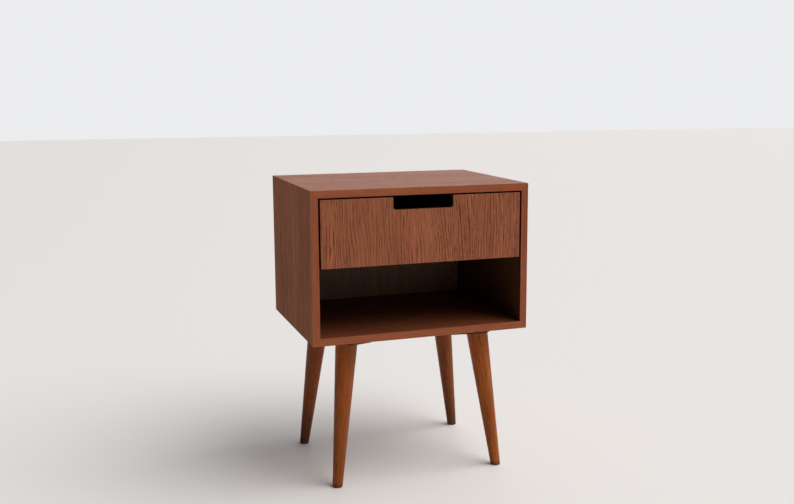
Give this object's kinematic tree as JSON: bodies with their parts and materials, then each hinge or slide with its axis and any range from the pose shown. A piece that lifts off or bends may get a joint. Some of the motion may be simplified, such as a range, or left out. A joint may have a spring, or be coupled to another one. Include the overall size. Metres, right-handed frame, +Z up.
{
  "type": "nightstand with drawer",
  "caption": "Mitred box cabinet on splayed tapered legs, with an inset drawer that slides on telescopic runners, a finger notch for a pull, and an open compartment below.",
  "frame": {"origin": "on the floor under the middle of the cabinet", "axes": "+X to the right as seen from the front, +Y to the back, +Z up"},
  "size_m": [0.45, 0.35, 0.6],
  "materials": {
    "carcass_veneer": "straight-grained reddish brown veneer, satin lacquer",
    "lipping_wood": "solid hardwood lipping, satin lacquer",
    "back_veneer": "straight-grained veneer, satin lacquer",
    "drawer_veneer": "straight-grained veneer with open pores, satin lacquer",
    "leg_wood": "turned solid hardwood, satin lacquer",
    "block_wood": "dark stained hardwood, matt",
    "box_wood": "stained hardwood, matt lacquer",
    "floor_plywood": "stained plywood, matt lacquer",
    "joinery_beech": "plain beech, uncoated",
    "runner_steel": "zinc-plated sheet steel",
    "cage_steel": "plain sheet steel",
    "ball_steel": "polished bearing steel",
    "screw_steel": "zinc-plated steel",
    "bolt_steel": "zinc-plated steel",
    "insert_brass": "plain brass"
  },
  "bodies": {
    "cabinet": {"back_panel": "back_veneer", "back_panel_screws": "screw_steel", "bottom_front_lipping": "lipping_wood", "bottom_panel": "carcass_veneer", "cabinet_runner_screws": "screw_steel", "front_left_leg": "leg_wood", "front_left_leg_block": "block_wood", "front_right_leg": "leg_wood", "front_right_leg_block": "block_wood", "left_front_lipping": "lipping_wood", "left_runner_cabinet_member": "runner_steel", "left_side_panel": "carcass_veneer", "leg_block_screws": "screw_steel", "leg_hanger_bolts": "bolt_steel", "leg_threaded_inserts": "insert_brass", "mitre_splines": "joinery_beech", "rear_left_leg": "leg_wood", "rear_left_leg_block": "block_wood", "rear_right_leg": "leg_wood", "rear_right_leg_block": "block_wood", "right_front_lipping": "lipping_wood", "right_runner_cabinet_member": "runner_steel", "right_side_panel": "carcass_veneer", "top_front_lipping": "lipping_wood", "top_panel": "carcass_veneer"},
    "drawer": {"drawer_box_back": "box_wood", "drawer_box_front": "box_wood", "drawer_dowels": "joinery_beech", "drawer_floor": "floor_plywood", "drawer_front": "drawer_veneer", "drawer_front_screws": "screw_steel", "drawer_left_side": "box_wood", "drawer_right_side": "box_wood", "drawer_runner_screws": "screw_steel", "left_runner_drawer_member": "runner_steel", "right_runner_drawer_member": "runner_steel"},
    "left_runner_middle": {"left_runner_middle_member": "runner_steel"},
    "left_outer_cage": {"left_outer_ball_cage": "cage_steel", "left_outer_balls": "ball_steel"},
    "left_inner_cage": {"left_inner_ball_cage": "cage_steel", "left_inner_balls": "ball_steel"},
    "right_runner_middle": {"right_runner_middle_member": "runner_steel"},
    "right_outer_cage": {"right_outer_ball_cage": "cage_steel", "right_outer_balls": "ball_steel"},
    "right_inner_cage": {"right_inner_ball_cage": "cage_steel", "right_inner_balls": "ball_steel"}
  },
  "joints": [
    {"name": "drawer_slide", "type": "slide", "parent": "cabinet", "child": "drawer", "axis": [0, -1, 0], "range_m": [0, 0.3]},
    {"name": "left_runner_middle_slide", "type": "slide", "parent": "cabinet", "child": "left_runner_middle", "axis": [0, -1, 0], "range_m": [0, 0.15]},
    {"name": "left_outer_cage_slide", "type": "slide", "parent": "cabinet", "child": "left_outer_cage", "axis": [0, -1, 0], "range_m": [0, 0.075]},
    {"name": "left_inner_cage_slide", "type": "slide", "parent": "cabinet", "child": "left_inner_cage", "axis": [0, -1, 0], "range_m": [0, 0.225]},
    {"name": "right_runner_middle_slide", "type": "slide", "parent": "cabinet", "child": "right_runner_middle", "axis": [0, -1, 0], "range_m": [0, 0.15]},
    {"name": "right_outer_cage_slide", "type": "slide", "parent": "cabinet", "child": "right_outer_cage", "axis": [0, -1, 0], "range_m": [0, 0.075]},
    {"name": "right_inner_cage_slide", "type": "slide", "parent": "cabinet", "child": "right_inner_cage", "axis": [0, -1, 0], "range_m": [0, 0.225]}
  ],
  "couplings": [
    {"joint": "left_runner_middle_slide", "follows": "drawer_slide", "ratio": 0.5},
    {"joint": "left_outer_cage_slide", "follows": "drawer_slide", "ratio": 0.25},
    {"joint": "left_inner_cage_slide", "follows": "drawer_slide", "ratio": 0.75},
    {"joint": "right_runner_middle_slide", "follows": "drawer_slide", "ratio": 0.5},
    {"joint": "right_outer_cage_slide", "follows": "drawer_slide", "ratio": 0.25},
    {"joint": "right_inner_cage_slide", "follows": "drawer_slide", "ratio": 0.75}
  ]
}
